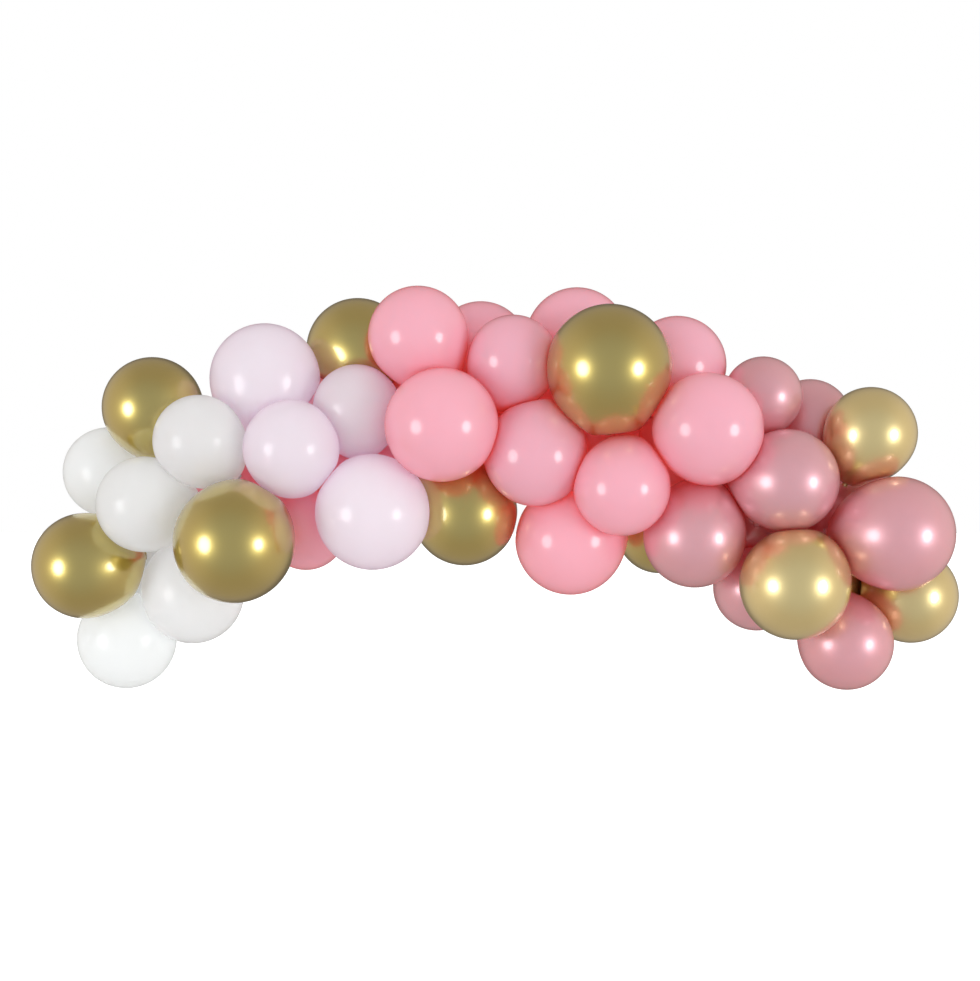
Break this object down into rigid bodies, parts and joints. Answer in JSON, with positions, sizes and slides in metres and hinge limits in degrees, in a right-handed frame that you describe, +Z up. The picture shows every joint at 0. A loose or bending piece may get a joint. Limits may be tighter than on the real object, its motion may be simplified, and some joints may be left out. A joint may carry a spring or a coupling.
{
  "type": "balloon garland",
  "caption": "Bow-shaped garland of round latex balloons in white, blush, pink, dusty rose, gold and champagne, pressed together and flat at the back where it meets a wall.",
  "frame": {"origin": "on the wall plane, at the middle of the flat patch of the back balloon at the crown of the bow", "axes": "+X to the right as seen from the front, +Y into the wall, +Z up; the viewer stands at -Y"},
  "size_m": [2.0341, 0.487, 0.8921],
  "materials": {
    "white_latex": "opaque white latex, soft gloss",
    "blush_latex": "opaque pale pink latex, soft gloss",
    "pink_latex": "opaque pink latex, soft gloss",
    "rose_latex": "pearly dusty rose latex",
    "gold_latex": "mirror-like gold latex",
    "champagne_latex": "mirror-like pale gold latex"
  },
  "bodies": {
    "root": {"white_balloon_01": "white_latex", "white_balloon_02": "white_latex", "white_balloon_03": "white_latex", "white_balloon_04": "white_latex", "white_balloon_05": "white_latex", "blush_balloon_01": "blush_latex", "blush_balloon_02": "blush_latex", "blush_balloon_03": "blush_latex", "blush_balloon_04": "blush_latex", "pink_balloon_01": "pink_latex", "pink_balloon_02": "pink_latex", "pink_balloon_03": "pink_latex", "pink_balloon_04": "pink_latex", "pink_balloon_05": "pink_latex", "pink_balloon_06": "pink_latex", "pink_balloon_07": "pink_latex", "pink_balloon_08": "pink_latex", "pink_balloon_09": "pink_latex", "pink_balloon_10": "pink_latex", "pink_balloon_11": "pink_latex", "rose_balloon_01": "rose_latex", "rose_balloon_02": "rose_latex", "rose_balloon_03": "rose_latex", "rose_balloon_04": "rose_latex", "rose_balloon_05": "rose_latex", "rose_balloon_06": "rose_latex", "rose_balloon_07": "rose_latex", "gold_balloon_01": "gold_latex", "gold_balloon_02": "gold_latex", "gold_balloon_03": "gold_latex", "gold_balloon_04": "gold_latex", "gold_balloon_05": "gold_latex", "gold_balloon_06": "gold_latex", "gold_balloon_07": "gold_latex", "champagne_balloon_01": "champagne_latex", "champagne_balloon_02": "champagne_latex", "champagne_balloon_03": "champagne_latex", "back_balloon_01": "white_latex", "back_balloon_02": "pink_latex", "back_balloon_03": "pink_latex", "back_balloon_04": "gold_latex", "back_balloon_05": "pink_latex", "back_balloon_06": "pink_latex", "back_balloon_07": "pink_latex", "back_balloon_08": "pink_latex", "back_balloon_09": "rose_latex", "back_balloon_10": "rose_latex", "back_balloon_11": "champagne_latex"}
  },
  "joints": []
}
